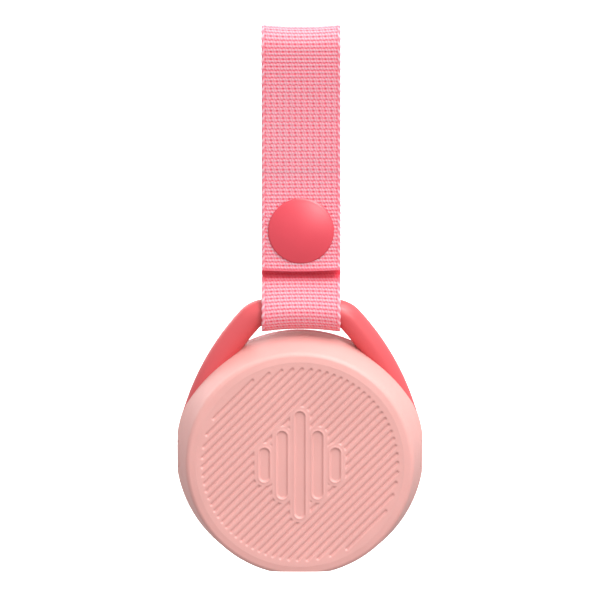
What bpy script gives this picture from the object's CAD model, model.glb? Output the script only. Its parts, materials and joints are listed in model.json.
import json
import math

import bmesh
import bpy
import numpy as np
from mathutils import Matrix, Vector


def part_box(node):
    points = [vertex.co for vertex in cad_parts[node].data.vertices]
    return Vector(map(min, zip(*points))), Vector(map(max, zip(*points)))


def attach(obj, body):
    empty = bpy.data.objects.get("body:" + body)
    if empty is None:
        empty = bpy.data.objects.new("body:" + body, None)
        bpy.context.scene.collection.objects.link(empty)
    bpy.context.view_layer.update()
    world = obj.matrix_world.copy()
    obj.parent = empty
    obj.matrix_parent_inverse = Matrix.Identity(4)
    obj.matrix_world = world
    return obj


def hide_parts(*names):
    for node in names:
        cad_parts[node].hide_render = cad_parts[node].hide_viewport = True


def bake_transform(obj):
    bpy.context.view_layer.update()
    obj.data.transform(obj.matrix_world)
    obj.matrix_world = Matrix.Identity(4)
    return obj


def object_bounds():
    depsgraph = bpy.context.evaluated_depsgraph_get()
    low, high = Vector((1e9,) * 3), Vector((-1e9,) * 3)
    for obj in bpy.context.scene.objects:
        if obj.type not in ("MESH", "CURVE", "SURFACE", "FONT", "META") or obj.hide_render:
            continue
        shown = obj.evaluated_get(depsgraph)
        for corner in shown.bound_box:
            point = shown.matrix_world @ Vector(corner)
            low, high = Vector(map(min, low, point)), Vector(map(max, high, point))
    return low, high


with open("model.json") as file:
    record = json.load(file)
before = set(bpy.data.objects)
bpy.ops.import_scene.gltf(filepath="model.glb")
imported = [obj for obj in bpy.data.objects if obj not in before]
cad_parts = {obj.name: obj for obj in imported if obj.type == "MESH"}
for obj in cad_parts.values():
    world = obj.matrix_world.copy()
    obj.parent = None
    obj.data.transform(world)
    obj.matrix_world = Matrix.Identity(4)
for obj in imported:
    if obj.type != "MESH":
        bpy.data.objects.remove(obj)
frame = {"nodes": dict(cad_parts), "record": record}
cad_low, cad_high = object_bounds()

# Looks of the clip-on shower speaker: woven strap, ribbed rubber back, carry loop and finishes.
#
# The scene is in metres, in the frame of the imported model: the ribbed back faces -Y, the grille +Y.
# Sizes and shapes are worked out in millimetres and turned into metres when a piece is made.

MM = 0.001

# ---------------------------------------------------------------- driving sizes, in millimetres

# The strap's line
WEB_THICK = 1.3
TOP_FOLD_R = 5.65  # to the middle of the webbing
BAR_FOLD_R = 6.47
SEAM_LAYER_Y = 0.75  # middle of each of the seam's two layers
SEAM_LONG = 25.5
SEAM_BELOW_FLAP = 0.4  # the seam's lower end, below the flap's end
HINGE_GAP = 0.15  # the flap's hinge, above the flap's CAD solid
HINGE_REACH = 4.0  # the webbing bends over this much each way of the hinge
FOLD_BEND = 2.5  # how far each way the strap's corners are softened
LINE_STEP = 0.1
SADDLE_Z = 5.5  # height of the saddle over the hook
STRAP_ASIDE = 0.5  # the strap sits a little to one side on its bar
STRAP_SWAY = 0.12  # and comes back a little halfway along

# The weave

YARN_PITCH = 2.1  # one column of the weave, two yarns wide
ROW_PITCH = 1.3
ROW_SHIFT = 0.17
YARN_LEAN = 0.42
WEAVE_DEEP = 0.42
WEB_NARROWED = 0.5  # the woven edge's yarns reach back out to the full width
EDGE_ROUND = 0.4
EDGE_SCALLOP = 0.09  # how far the border's yarns stand out by turns
COVERED_REACH = 4.4  # the flap keeps the dye of the layer behind it this far below its end
COVERED_FADE = 2.8
ACROSS_STEP = YARN_PITCH / 8
ALONG_STEP = ROW_PITCH / 5

# The snap's cap
CAP_HIGH = 2.5
CAP_DOME = 1.9
CAP_ASIDE = 0.4

# The ribbed back
RIB_PITCH = 2.35
RIB_GROOVE = 1.0
RIB_DEEP = 0.48
RIB_FIELD_R = 34.4
EMBLEM_HEIGHTS = [12.0, 24.0, 38.0, 24.0, 12.0]
EMBLEM_BAR = 3.6
EMBLEM_PITCH = 6.2
EMBLEM_MARGIN = 1.8
PANEL_STEP = 0.25

# Room and camera
SKY_ABOVE = 0.95  # strength of the room's light from straight above
SKY_BELOW = 0.48  # and from straight below
FLOOR_WIDE = 30  # metres
FLOOR_BELOW = 0.16
CAMERA_TILT = 10.3  # degrees above the horizon
CAMERA_AWAY = 1.6
VIEW_HIGH = 0.2104  # what the square picture spans at the object
CAMERA_AIM = (0.00005, 0, -0.0906)

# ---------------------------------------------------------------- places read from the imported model


def box_mm(node):
    """Lowest and highest corner of a CAD node, in millimetres."""
    low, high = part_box(node)
    return low / MM, high / MM


strap_low, strap_high = box_mm("strap")
flap_low, flap_high = box_mm("strap_flap")
panel_low, panel_high = box_mm("ribbed_panel")
cap_low, cap_high = box_mm("snap_cap")

WEB_WIDTH = strap_high.x - strap_low.x
BAR_FOLD_Z = strap_low.z + BAR_FOLD_R + WEB_THICK / 2
FLAP_MID_Y = (flap_low.y + flap_high.y) / 2
HINGE_Z = flap_high.z + HINGE_GAP
SEAM_LOW_Z = flap_low.z - SEAM_BELOW_FLAP
SEAM_HIGH_Z = SEAM_LOW_Z + SEAM_LONG
PANEL_R = (panel_high.x - panel_low.x) / 2
PANEL_Z = (panel_low.z + panel_high.z) / 2
CAP_R = (cap_high.x - cap_low.x) / 2
CAP_Z = (cap_low.z + cap_high.z) / 2


# ---------------------------------------------------------------- small tools for nodes and meshes


def new_material(name, colour, roughness):
    """A node material with its Principled shader; returns the material, its tree and the shader."""
    made = bpy.data.materials.new(name)
    made.use_nodes = True
    tree = made.node_tree
    shader = tree.nodes["Principled BSDF"]
    shader.inputs["Base Color"].default_value = (*colour, 1)
    shader.inputs["Roughness"].default_value = roughness
    return made, tree, shader


def place_of(tree):
    """Object coordinates, which stay with a piece when it moves."""
    return tree.nodes.new("ShaderNodeTexCoord").outputs["Object"]


def noise(tree, where, scale, detail=3.0):
    """A noise texture's value at a place."""
    made = tree.nodes.new("ShaderNodeTexNoise")
    made.inputs["Scale"].default_value = scale
    made.inputs["Detail"].default_value = detail
    tree.links.new(where, made.inputs["Vector"])
    return made.outputs["Fac"]


def ramp(tree, value, stops):
    """A colour ramp through (position, linear colour) stops."""
    made = tree.nodes.new("ShaderNodeValToRGB")
    points = made.color_ramp.elements
    while len(points) < len(stops):
        points.new(0.5)
    for point, (position, colour) in zip(points, stops):
        point.position = position
        point.color = (*colour, 1)
    tree.links.new(value, made.inputs["Fac"])
    return made.outputs["Color"]


def spread(tree, value, low, high):
    """Map a 0 to 1 value to a range."""
    made = tree.nodes.new("ShaderNodeMapRange")
    made.inputs["To Min"].default_value = low
    made.inputs["To Max"].default_value = high
    tree.links.new(value, made.inputs["Value"])
    return made.outputs["Result"]


def bump(tree, shader, heights, depth_mm):
    """Add fine relief from (height socket, depth in millimetres) pairs, one over another."""
    last = None
    for height, depth in zip(heights, depth_mm):
        made = tree.nodes.new("ShaderNodeBump")
        made.inputs["Distance"].default_value = depth * MM
        tree.links.new(height, made.inputs["Height"])
        if last is not None:
            tree.links.new(last, made.inputs["Normal"])
        last = made.outputs["Normal"]
    tree.links.new(last, shader.inputs["Normal"])


def shade(colour, factor):
    """A colour made lighter or darker."""
    return tuple(min(1.0, c * factor) for c in colour)


def new_piece(name, points, faces, smooth=True):
    """A mesh object from points in millimetres and faces."""
    mesh = bpy.data.meshes.new(name)
    mesh.from_pydata((np.asarray(points) * MM).tolist(), [], faces)
    mesh.update()
    if smooth:
        mesh.polygons.foreach_set("use_smooth", [True] * len(mesh.polygons))
    made = bpy.data.objects.new(name, mesh)
    bpy.context.collection.objects.link(made)
    return made


# ---------------------------------------------------------------- finishes


def srgb(red, green, blue):
    """Linear colour from 0 to 255 screen values."""
    linear = []
    for value in (red, green, blue):
        share = value / 255
        linear.append(share / 12.92 if share <= 0.04045 else ((share + 0.055) / 1.055) ** 2.4)
    return tuple(linear)


def moulded(name, colour, roughness, grain_mm=0.25, grain_deep=0.01, metal=0.0, vary=0.06):
    """Moulded plastic, rubber or painted metal: cloudy colour, uneven gloss and a fine skin grain."""
    made, tree, shader = new_material(name, colour, roughness)
    where = place_of(tree)
    clouds = noise(tree, where, 60.0)
    tint = ramp(tree, clouds, [(0.3, shade(colour, 1 - vary)), (0.7, shade(colour, 1 + vary))])
    tree.links.new(tint, shader.inputs["Base Color"])
    smudge = noise(tree, where, 180.0, 5.0)
    tree.links.new(spread(tree, smudge, roughness - 0.07, roughness + 0.07), shader.inputs["Roughness"])
    shader.inputs["Metallic"].default_value = metal
    grain = noise(tree, where, 1 / (grain_mm * MM), 2.0)
    soft_waves = noise(tree, where, 90.0, 1.0)
    bump(tree, shader, [soft_waves, grain], [0.05, grain_deep])
    return made, tree, shader


def webbing():
    """Woven polyester: dark saturated pits, pale yarn crowns, fine fibres along the yarns."""
    made, tree, shader = new_material("woven_webbing", srgb(250, 140, 158), 0.5)
    height = tree.nodes.new("ShaderNodeAttribute")
    height.attribute_name = "weave_height"
    cloth = tree.nodes.new("ShaderNodeAttribute")
    cloth.attribute_name = "cloth_place"
    where = place_of(tree)
    yarn = ramp(
        tree,
        height.outputs["Fac"],
        [(0.15, srgb(238, 26, 58)), (0.5, srgb(255, 84, 106)), (0.8, srgb(255, 150, 166)),
         (1.0, srgb(255, 208, 217))],
    )
    faded = ramp(tree, noise(tree, where, 45.0), [(0.3, (1.0, 0.92, 0.94)), (0.7, (1.0, 1.0, 1.0))])
    blend = tree.nodes.new("ShaderNodeMix")
    blend.data_type = "RGBA"
    blend.blend_type = "MULTIPLY"
    blend.inputs[0].default_value = 1.0
    tree.links.new(yarn, blend.inputs[6])
    tree.links.new(faded, blend.inputs[7])
    tree.links.new(blend.outputs[2], shader.inputs["Base Color"])
    fibres = tree.nodes.new("ShaderNodeTexWave")
    fibres.inputs["Scale"].default_value = 1.9
    fibres.inputs["Distortion"].default_value = 2.5
    fibres.inputs["Detail"].default_value = 2.0
    tree.links.new(cloth.outputs["Vector"], fibres.inputs["Vector"])
    fuzz = noise(tree, where, 5200.0, 2.0)
    bump(tree, shader, [fibres.outputs["Fac"], fuzz], [0.05, 0.03])
    shader.inputs["Subsurface Weight"].default_value = 0.35
    shader.inputs["Subsurface Radius"].default_value = (0.002, 0.0004, 0.0005)
    shader.inputs["Subsurface Scale"].default_value = 1.0
    shader.inputs["Sheen Weight"].default_value = 0.25
    shader.inputs["Sheen Roughness"].default_value = 0.4
    shader.inputs["Sheen Tint"].default_value = (1.0, 0.72, 0.78, 1)
    shader.inputs["Specular IOR Level"].default_value = 0.5
    return made


def soft_rubber():
    """Pale silicone-like skin with a very fine grain and a soft sheen."""
    made, tree, shader = moulded("pale_rubber_skin", srgb(222, 163, 157), 0.5, 0.16, 0.012, vary=0.025)
    shader.inputs["Specular IOR Level"].default_value = 0.4
    shader.inputs["Subsurface Weight"].default_value = 0.08
    shader.inputs["Subsurface Radius"].default_value = (0.004, 0.002, 0.0016)
    shader.inputs["Subsurface Scale"].default_value = 0.5
    return made


def coral_shell():
    """Satin coral plastic."""
    made, tree, shader = moulded("coral_shell", srgb(214, 84, 89), 0.36, 0.2, 0.008, vary=0.03)
    shader.inputs["Specular IOR Level"].default_value = 0.45
    return made


def snap_cap_finish():
    """Satin coral plastic of the snap's cap."""
    made, tree, shader = moulded("snap_cap_plastic", srgb(222, 56, 74), 0.4, 0.22, 0.012, vary=0.03)
    shader.inputs["Specular IOR Level"].default_value = 0.9
    return made


def milky():
    """Frosted diffuser."""
    made, tree, shader = moulded("milky_diffuser", srgb(246, 232, 228), 0.5, 0.3, 0.01, vary=0.02)
    shader.inputs["Subsurface Weight"].default_value = 0.4
    shader.inputs["Subsurface Radius"].default_value = (0.004, 0.004, 0.004)
    return made


def cloth_behind_grille():
    """Fine dark acoustic cloth."""
    made, tree, shader = moulded("acoustic_cloth", srgb(120, 60, 66), 0.85, 0.35, 0.15, vary=0.1)
    return made


def board_green():
    """Circuit board with faint tracks."""
    made, tree, shader = moulded("board_laminate", srgb(24, 92, 60), 0.4, 0.8, 0.02, vary=0.15)
    return made


FINISHES = {
    "strap_webbing": webbing(),
    "thread": moulded("thread", srgb(250, 150, 165), 0.7, 0.12, 0.05)[0],
    "snap_plastic": snap_cap_finish(),
    "snap_metal": moulded("snap_metal", srgb(196, 196, 200), 0.28, 0.3, 0.006, 1.0)[0],
    "pale_rubber": soft_rubber(),
    "inner_plastic": moulded("inner_plastic", srgb(58, 58, 62), 0.5)[0],
    "coral_plastic": coral_shell(),
    "black_rubber": moulded("black_rubber", srgb(38, 38, 40), 0.6)[0],
    "diffuser": milky(),
    "board": board_green(),
    "led_body": moulded("led_body", srgb(240, 236, 214), 0.3)[0],
    "grille_metal": moulded("grille_paint", srgb(226, 96, 104), 0.42, 0.3, 0.01, vary=0.03)[0],
    "cloth": cloth_behind_grille(),
    "foam": moulded("foam", srgb(52, 52, 54), 0.9, 0.5, 0.2)[0],
    "basket_steel": moulded("basket_steel", srgb(96, 98, 102), 0.45, 0.4, 0.01, 0.8)[0],
    "magnet_steel": moulded("magnet_steel", srgb(150, 152, 156), 0.35, 0.4, 0.008, 1.0)[0],
    "copper": moulded("copper_winding", srgb(206, 118, 74), 0.3, 0.2, 0.03, 1.0)[0],
    "paper_cone": moulded("paper_cone", srgb(48, 46, 46), 0.8, 0.6, 0.06)[0],
    "screw_steel": moulded("screw_steel", srgb(120, 120, 124), 0.3, 0.3, 0.006, 1.0)[0],
    "chip": moulded("chip_epoxy", srgb(34, 34, 36), 0.45, 0.2, 0.01)[0],
    "cell_wrap": moulded("cell_wrap", srgb(176, 180, 188), 0.35, 1.2, 0.05, 0.5)[0],
    "socket_steel": moulded("socket_steel", srgb(190, 190, 194), 0.3, 0.3, 0.006, 1.0)[0],
    "flex": moulded("flex_film", srgb(186, 120, 44), 0.35, 0.6, 0.01)[0],
    "lead_wire": moulded("lead_wire", srgb(176, 40, 40), 0.45, 0.3, 0.01)[0],
}


def slot_of(name):
    """The record's material slot of a CAD node."""
    return next(p["material_slot"] for p in frame["record"]["subparts"] if p["node"] == name)


def dress_cad():
    """Give every CAD node the finish of its record slot."""
    for name, made in frame["nodes"].items():
        finish = FINISHES[slot_of(name)]
        if not made.material_slots:
            made.data.materials.append(finish)
        for place in made.material_slots:
            place.material = finish


# ---------------------------------------------------------------- strap


def touch_point(centre, radius, outside, side):
    """Where a line from an outside (y, z) point touches a circle."""
    away = outside[0] - centre[0], outside[1] - centre[1]
    turn = math.acos(radius / math.hypot(*away)) * side
    heading = math.atan2(away[1], away[0]) - turn
    return centre[0] + radius * math.cos(heading), centre[1] + radius * math.sin(heading)


def arc_points(centre, radius, start, end, by_way):
    """Points on a circle from start to end, going round by the given (y, z) side."""
    first = math.atan2(start[1] - centre[1], start[0] - centre[0])
    middle = math.atan2(by_way[1] - centre[1], by_way[0] - centre[0])
    last = math.atan2(end[1] - centre[1], end[0] - centre[0])
    sweep = (last - first) % (2 * math.pi)
    if (middle - first) % (2 * math.pi) > sweep:
        sweep -= 2 * math.pi
    steps = 60
    return [
        (centre[0] + radius * math.cos(first + sweep * i / steps),
         centre[1] + radius * math.sin(first + sweep * i / steps))
        for i in range(steps + 1)
    ]


def even_points(points, step):
    """The same line with points at even steps."""
    points = np.asarray(points, float)
    lengths = np.concatenate([[0], np.cumsum(np.linalg.norm(np.diff(points, axis=0), axis=1))])
    count = int(round(lengths[-1] / step))
    at = np.linspace(0, lengths[-1], count + 1)
    return np.stack([np.interp(at, lengths, points[:, k]) for k in range(points.shape[1])], axis=1)


def softened(points, reach, step):
    """Round a line's corners by averaging along it; its ends stay put."""
    span = int(round(reach / step))
    kernel = np.ones(2 * span + 1) / (2 * span + 1)
    ahead = 2 * points[0] - points[span:0:-1]
    after = 2 * points[-1] - points[-2:-span - 2:-1]
    longer = np.concatenate([ahead, points, after])
    return np.stack([np.convolve(longer[:, k], kernel, "valid") for k in range(2)], axis=1)


def strap_line():
    """Middle of the webbing as (y, z) points: tucked end, carry bar, back, hook, front, flap's end."""
    bar = (0, BAR_FOLD_Z)
    front_low = (-SEAM_LAYER_Y, SEAM_LOW_Z)
    back_low = (SEAM_LAYER_Y, SEAM_LOW_Z)
    back_high = (SEAM_LAYER_Y, SEAM_HIGH_Z)
    flap_top = (FLAP_MID_Y, HINGE_Z)
    bar_front = touch_point(bar, BAR_FOLD_R, front_low, -1)
    bar_back = touch_point(bar, BAR_FOLD_R, back_low, 1)
    hook_back = touch_point((0, 0), TOP_FOLD_R, back_high, -1)
    hook_front = touch_point((0, 0), TOP_FOLD_R, flap_top, 1)
    line = [(-SEAM_LAYER_Y, SEAM_HIGH_Z), front_low]
    line += arc_points(bar, BAR_FOLD_R, bar_front, bar_back, (0, BAR_FOLD_Z - 9))
    line += [back_low, back_high]
    line += arc_points((0, 0), TOP_FOLD_R, hook_back, hook_front, (0, 9))
    line += [flap_top, (FLAP_MID_Y, flap_low.z)]
    return softened(even_points(line, LINE_STEP), FOLD_BEND, LINE_STEP)


def weave(across, along, opened):
    """Height of the weave, 0 in its pits to 1 on the yarns' crowns; opened is 1 where rows lie apart."""
    row = along / ROW_PITCH
    nearest = np.floor(row + 0.5)
    within = row - nearest
    shift = ROW_SHIFT * np.where(nearest % 2 == 0, 1, -1)
    column = ((across - shift - YARN_LEAN * within * ROW_PITCH) / YARN_PITCH) % 1.0
    between_rows = np.abs(2 * within) ** 2.2
    between_columns = np.abs(np.cos(np.pi * column)) ** 4
    between_pair = np.exp(-(((column - 0.5) / 0.08) ** 2))
    height = 1 - (0.28 + 0.24 * opened) * between_rows * (0.55 + 0.45 * between_columns)
    height -= (0.45 - 0.15 * opened) * between_columns * (0.35 + 0.65 * between_rows)
    height -= 0.25 * between_pair
    return np.clip(height, 0, 1)


def selvedge(across, along, height):
    """Turn the outermost yarns into a slanted rope-like border."""
    from_edge = (WEB_WIDTH - WEB_NARROWED) / 2 - np.abs(across)
    rope = 0.85 + 0.15 * np.cos(2 * np.pi * (along + 1.1 * from_edge) / (2 * ROW_PITCH))
    share = np.clip((1.25 - from_edge) / 0.35, 0, 1)
    valley = np.exp(-(((from_edge - 1.35) / 0.22) ** 2))
    return (1 - share) * height * (1 - 0.12 * valley) + share * rope


def strap_sag(across, y, z, along_share):
    """How the supple webbing leaves its ideal line, as (forward, up) shifts in millimetres."""
    side = across / (WEB_WIDTH / 2)
    # A saddle over the hook: the edges stand higher than the middle.
    near_hook = np.exp(-((z - SADDLE_Z) / 4.5) ** 2)
    up = 0.75 * (side**2 - 0.45) * near_hook
    # An arch over the bent carry bar: the middle stands higher than the edges.
    near_bar = np.clip((SEAM_LOW_Z - 2.5 - z) / 16.0, 0, 1) ** 0.7
    up -= 1.1 * (side**2 - 0.62) * near_bar
    # A slack belly in the front leg, between the hook and the snap.
    in_front = (y < 0) & (z > SEAM_LOW_Z + 1.0) & (along_share > 0.6)
    belly = np.clip(-z / 30, 0, 1) * np.clip((z - flap_low.z - 7) / 30, 0, 1)
    forward = np.where(in_front, 0.9 * np.sin(np.pi / 2 * belly) ** 2, 0.0)
    # The flap's free end curls away from the seam, more at its corners.
    curl = np.clip((flap_low.z + 6.6 - z) / 6.5, 0, 1) ** 2 * np.where(along_share > 0.8, 1.0, 0.0)
    forward -= curl * (0.5 + 0.35 * side + 0.5 * side**2)
    up += curl * (0.55 * side**2 + 0.15 * side)
    return forward, up


def under_flap(z, y):
    """1 where the flap covers the front of the seam, fading just below the flap's end."""
    share = np.clip((z - flap_low.z + COVERED_REACH) / COVERED_FADE, 0, 1)
    return share * share * (3 - 2 * share) * (y < 0)


def ring_places(half):
    """One row's closed ring: places across the strap, and 1 on its front to -1 on its back."""
    flat_half = half - EDGE_ROUND
    count = int(round(2 * flat_half / ACROSS_STEP))
    lanes = np.linspace(-flat_half, flat_half, count + 1)
    turns = [math.radians(a) for a in (45, 0, -45)]
    right_edge = flat_half + EDGE_ROUND * np.cos(turns)
    across = np.concatenate([lanes, right_edge, lanes[::-1], -right_edge])
    face = np.concatenate([np.ones(count + 1), np.sin(turns), -np.ones(count + 1), -np.sin(turns)])
    return across, face


def build_strap():
    """Rows of ring-shaped points along the strap's line, woven on both faces."""
    middle = even_points(strap_line(), ALONG_STEP)
    length = np.linalg.norm(np.diff(strap_line(), axis=0), axis=1).sum()
    heading = np.gradient(middle, axis=0)
    heading /= np.linalg.norm(heading, axis=1)[:, None]
    outward = np.stack([heading[:, 1], -heading[:, 0]], axis=1)
    along = np.arange(len(middle)) * ALONG_STEP
    half = (WEB_WIDTH - WEB_NARROWED) / 2
    ring_across, ring_face = ring_places(half)
    s, across = np.meshgrid(along, ring_across, indexing="ij")
    face = np.broadcast_to(ring_face, s.shape)
    y_line = middle[:, 0][:, None] + 0 * s
    z_line = middle[:, 1][:, None] + 0 * s

    # The front leg is pulled tight between the hook and the snap, so its rows close up there.
    tight = np.clip((-6 - z_line) / 12, 0, 1) * np.clip((z_line + 62) / 16, 0, 1)
    opened = 1 - tight * (s > length / 2)
    behind_by_a_row = np.where(face < 0, ROW_PITCH, 0)
    height = selvedge(across, s, weave(across, s + behind_by_a_row, opened))
    from_cut = np.minimum(s - along[0], along[-1] - s)
    height = 0.55 + (height - 0.55) * np.clip(0.8 * from_cut, 0, 1)

    thick = WEB_THICK / 2 - WEAVE_DEEP * (1 - height)
    at_border = np.abs(across) > half - 0.5
    scallop = np.where(at_border, EDGE_SCALLOP * np.cos(2 * np.pi * s / (2 * ROW_PITCH)), 0)
    x = across + np.sign(across) * scallop + STRAP_ASIDE - STRAP_SWAY * np.sin(np.pi * s / length)
    y = y_line + outward[:, 0][:, None] * face * thick
    z = z_line + outward[:, 1][:, None] * face * thick
    forward, up = strap_sag(across, y_line, z_line, s / length)
    points = np.stack([x, y + forward, z + up], axis=2)
    kept_dye = under_flap(z_line, y_line) * (s < length / 2)
    return middle, along, points, height * (1 - 0.65 * kept_dye), across


def sharpen_ends(mesh):
    """Keep the flat cuts at a piece's two ends from shading into its faces."""
    cuts = [p for p in mesh.polygons if len(p.vertices) > 4]
    rims = set()
    for cut in cuts:
        cut.use_smooth = False
        rims |= {tuple(sorted(key)) for key in cut.edge_keys}
    for edge in mesh.edges:
        if tuple(sorted(edge.vertices)) in rims:
            edge.use_edge_sharp = True


def strap_piece(name, data, first, last):
    """One stretch of the strap, from row first to row last, closed at both cuts."""
    middle, along, points, height, across = data
    rows = points[first:last + 1]
    count, ring = rows.shape[:2]
    index = np.arange(count * ring).reshape(count, ring)
    here = index[:-1]
    after = index[1:]
    quads = np.stack([here, np.roll(here, -1, 1), np.roll(after, -1, 1), after], axis=2)
    faces = quads.reshape(-1, 4).tolist()
    faces.append(index[0][::-1].tolist())
    faces.append(index[-1].tolist())
    made = new_piece(name, rows.reshape(-1, 3), faces)
    sharpen_ends(made.data)
    high = made.data.attributes.new("weave_height", "FLOAT", "POINT")
    high.data.foreach_set("value", height[first:last + 1].reshape(-1).astype(np.float32))
    cloth = made.data.attributes.new("cloth_place", "FLOAT_VECTOR", "POINT")
    s = np.broadcast_to(along[first:last + 1, None], (count, ring))
    flat = np.stack([across[first:last + 1], s, 0 * s], axis=2)
    cloth.data.foreach_set("vector", flat.reshape(-1).astype(np.float32))
    made.data.materials.append(FINISHES["strap_webbing"])
    return made


def make_strap():
    """The strap in five pieces that meet edge to edge; the last bends at the snap's hinge."""
    data = build_strap()
    middle, along = data[0], data[1]
    z = middle[:, 1]
    bottom = int(np.argmin(z))
    top = int(np.argmax(z))
    rising = int(np.argmax((np.arange(len(z)) > bottom) & (z > SEAM_LOW_Z - 1)))
    falling = int(np.argmax((np.arange(len(z)) > top) & (z < HINGE_Z + HINGE_REACH + 0.6)))
    halfway = (rising + top) // 2
    cuts = [
        ("strap_bar_fold", 0, rising, "folded"),
        ("strap_back_low", rising, halfway, "hung"),
        ("strap_back_high", halfway, top, "hung"),
        ("strap_front_high", top, falling, "hung"),
    ]
    for name, first, last, held in cuts:
        made = strap_piece(name, data, first, last)
        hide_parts("strap")
        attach(made, "strap")
    flap = strap_piece("strap_flap_web", data, falling, len(along) - 1)
    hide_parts("strap_flap")
    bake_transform(flap)
    return along[-1]


# ---------------------------------------------------------------- ribbed back


def rounded_edge(distance, soft):
    """0 outside to 1 inside of an edge, rounded over a soft width."""
    share = np.clip(0.5 + distance / soft, 0, 1)
    return share * share * (3 - 2 * share)


def slot_distance(x, z, half_long, half_wide):
    """How far inside a rounded slot along x a point is; negative outside."""
    past = np.maximum(np.abs(x) - (half_long - half_wide), 0)
    return half_wide - np.hypot(past, z)


def emblem_distance(x, z, margin):
    """How far inside the sound-level bars, grown by a margin, a point is."""
    best = np.full(x.shape, -1e3)
    for index, tall in enumerate(EMBLEM_HEIGHTS):
        across = x - (index - (len(EMBLEM_HEIGHTS) - 1) / 2) * EMBLEM_PITCH
        best = np.maximum(best, slot_distance(z, across, tall / 2 + margin, EMBLEM_BAR / 2 + margin))
    return best


def groove_distance(x, z):
    """How far inside the nearest slanted groove a point is."""
    diagonal = math.sqrt(0.5)
    run = (x + z) * diagonal
    offset = (z - x) * diagonal
    nearest = np.round(offset / RIB_PITCH) * RIB_PITCH
    reach = np.sqrt(np.maximum(RIB_FIELD_R**2 - nearest**2, 0))
    inside = slot_distance(run, offset - nearest, reach, RIB_GROOVE / 2)
    inside = np.where(np.abs(nearest) < RIB_FIELD_R, inside, -1e3)
    return inside


def panel_relief(x, z):
    """Depth of the back's pattern, in millimetres, at (x, z) from its centre."""
    bars = emblem_distance(x, z, 0.0)
    keep_clear = emblem_distance(x, z, EMBLEM_MARGIN)
    grooves = np.minimum(groove_distance(x, z), -keep_clear)
    depth = RIB_DEEP * rounded_edge(grooves - 0.05, 0.5)
    depth = np.maximum(depth, RIB_DEEP * rounded_edge(bars - 0.1, 0.55))
    lip = 0.16 * np.exp(-(((bars + 0.3) / 0.28) ** 2))
    return depth - lip


def make_ribbed_panel():
    """The ribbed back as one fine height field with a skirt, clipped to its circle."""
    steps = int(PANEL_R / PANEL_STEP) + 2
    lane = np.arange(-steps, steps + 1) * PANEL_STEP
    run, offset = np.meshgrid(lane, lane, indexing="ij")
    diagonal = math.sqrt(0.5)
    x = (run - offset) * diagonal
    z = (run + offset) * diagonal
    inside = np.hypot(x, z) <= PANEL_R - 0.4 * PANEL_STEP
    whole = inside[:-1, :-1] & inside[1:, :-1] & inside[:-1, 1:] & inside[1:, 1:]
    index = np.arange(x.size).reshape(x.shape)
    quads = np.stack([index[:-1, :-1], index[1:, :-1], index[1:, 1:], index[:-1, 1:]], axis=2)[whole]
    used, back = np.unique(quads, return_inverse=True)
    faces = back.reshape(quads.shape)
    x = x.reshape(-1)[used]
    z = z.reshape(-1)[used]
    y = panel_low.y + panel_relief(x, z)
    made = new_piece("ribbed_back_skin", np.stack([x, y, z + PANEL_Z], axis=1), faces.tolist())
    mesh = bmesh.new()
    mesh.from_mesh(made.data)
    rim = [e for e in mesh.edges if e.is_boundary]
    for point in {v for e in rim for v in e.verts}:
        flat = Vector((point.co.x, point.co.z - PANEL_Z * MM))
        flat = flat.normalized() * PANEL_R * MM
        point.co.x = flat.x
        point.co.z = flat.y + PANEL_Z * MM
        point.co.y = panel_low.y * MM
    for edge in rim:
        edge.smooth = False
    grown = bmesh.ops.extrude_edge_only(mesh, edges=rim)
    skirt = [v for v in grown["geom"] if isinstance(v, bmesh.types.BMVert)]
    for point in skirt:
        point.co.y = panel_high.y * MM
    bmesh.ops.recalc_face_normals(mesh, faces=mesh.faces)
    mesh.to_mesh(made.data)
    mesh.free()
    made.data.polygons.foreach_set("use_smooth", [True] * len(made.data.polygons))
    made.data.materials.append(FINISHES["pale_rubber"])
    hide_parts("ribbed_panel")
    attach(made, "speaker")
    return made


# ---------------------------------------------------------------- snap cap


def lathe(name, outline, segments):
    """Spin (radius, y) points about the Y axis; the ends sit on the axis."""
    turns = np.linspace(0, 2 * np.pi, segments, endpoint=False)
    points = []
    for radius, depth in outline:
        for turn in turns:
            points.append((radius * math.cos(turn), depth, radius * math.sin(turn)))
    faces = []
    for ring in range(len(outline) - 1):
        for k in range(segments):
            after = (k + 1) % segments
            low, high = ring * segments, (ring + 1) * segments
            faces.append([low + k, low + after, high + after, high + k])
    faces.append(list(range(segments)))
    faces.append([(len(outline) - 1) * segments + k for k in range(segments)][::-1])
    made = new_piece(name, points, faces)
    mesh = bmesh.new()
    mesh.from_mesh(made.data)
    bmesh.ops.recalc_face_normals(mesh, faces=mesh.faces)
    mesh.to_mesh(made.data)
    mesh.free()
    return made


def make_snap_cap():
    """Shallow domed cap with a rolled rim."""
    front = cap_low.y
    root = front + CAP_HIGH
    outline = [(0.02, front)]
    for radius in np.linspace(1.0, CAP_R - 0.7, 16):
        outline.append((radius, front + CAP_DOME * (radius / CAP_R) ** 2))
    edge_y = outline[-1][1]
    outline += [(CAP_R - 0.42, edge_y + 0.06), (CAP_R - 0.2, edge_y + 0.2)]
    outline += [(CAP_R - 0.06, edge_y + 0.42), (CAP_R, root - 0.4), (CAP_R - 0.2, root - 0.15)]
    outline += [(CAP_R - 0.6, root), (0.02, root)]
    made = lathe("snap_cap_dome", outline, 128)
    made.location = (CAP_ASIDE * MM, 0, CAP_Z * MM)
    made.data.materials.append(FINISHES["snap_plastic"])
    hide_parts("snap_cap")
    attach(made, "strap_end")
    return made


# ---------------------------------------------------------------- room, light and camera


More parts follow.
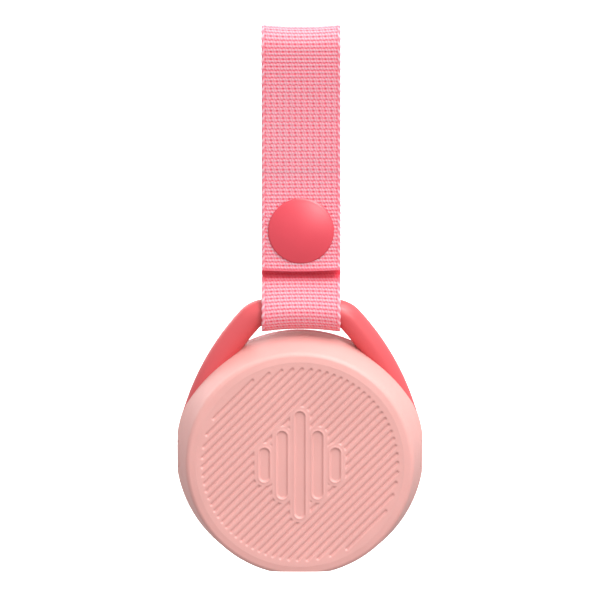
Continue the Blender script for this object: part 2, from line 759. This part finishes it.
def make_room():
    """White floor well below the hanging speaker, and soft light all round, stronger from above."""
    floor_z = cad_low.z - FLOOR_BELOW
    bpy.ops.mesh.primitive_plane_add(size=FLOOR_WIDE, location=(0, 0, floor_z))
    floor = bpy.context.object
    floor.name = "pale_floor"
    made, tree, shader = new_material("pale_floor", (0.9, 0.9, 0.9), 0.9)
    shader.inputs["Specular IOR Level"].default_value = 0.0
    shader.inputs["Emission Color"].default_value = (1, 1, 1, 1)
    shader.inputs["Emission Strength"].default_value = 0.5
    floor.data.materials.append(made)
    floor.visible_diffuse = False
    floor.visible_glossy = False
    world = bpy.data.worlds.new("pale_room")
    world.use_nodes = True
    tree = world.node_tree
    back = tree.nodes["Background"]
    back.inputs["Color"].default_value = (1, 1, 1, 1)
    where = tree.nodes.new("ShaderNodeTexCoord").outputs["Generated"]
    split = tree.nodes.new("ShaderNodeSeparateXYZ")
    tree.links.new(where, split.inputs[0])
    made = tree.nodes.new("ShaderNodeMapRange")
    made.inputs["From Min"].default_value = -1.0
    made.inputs["To Min"].default_value = SKY_BELOW
    made.inputs["To Max"].default_value = SKY_ABOVE
    tree.links.new(split.outputs["Z"], made.inputs["Value"])
    tree.links.new(made.outputs["Result"], back.inputs["Strength"])
    bpy.context.scene.world = world


def sun_light(name, place, spread_deg, strength):
    """A distant lamp in the direction of a place, with soft-edged shadows."""
    data = bpy.data.lights.new(name, "SUN")
    data.energy = strength
    data.angle = math.radians(spread_deg)
    made = bpy.data.objects.new(name, data)
    bpy.context.collection.objects.link(made)
    made.rotation_euler = Vector(place).to_track_quat("Z", "Y").to_euler()
    return made


def make_camera():
    """Long lens, level with the ribbed back and slightly above."""
    data = bpy.data.cameras.new("camera")
    data.sensor_width = 36
    data.lens = 36 * CAMERA_AWAY / VIEW_HIGH
    made = bpy.data.objects.new("camera", data)
    bpy.context.collection.objects.link(made)
    tilt = math.radians(CAMERA_TILT)
    aim = Vector(CAMERA_AIM)
    back = Vector((0, -math.cos(tilt), math.sin(tilt)))
    made.location = aim + back * CAMERA_AWAY
    made.rotation_euler = (-back).to_track_quat("-Z", "Y").to_euler()
    bpy.context.scene.camera = made


make_camera()
make_room()
sun_light("key_light", (0.5, -0.85, 0.9), 12, 1.4)
sun_light("top_light", (0.38, -0.25, 1.0), 50, 2.45)
sun_light("back_light", (-0.5, 1.0, 0.5), 40, 0.8)
sheen = sun_light("sheen_light", (0.48, -1.0, 0.42), 30, 1.2)
sheen.visible_diffuse = False  # it only adds a soft shine to the cap and the shell
bpy.context.scene.view_settings.view_transform = "Standard"

dress_cad()
strap_long = make_strap()
make_ribbed_panel()
make_snap_cap()
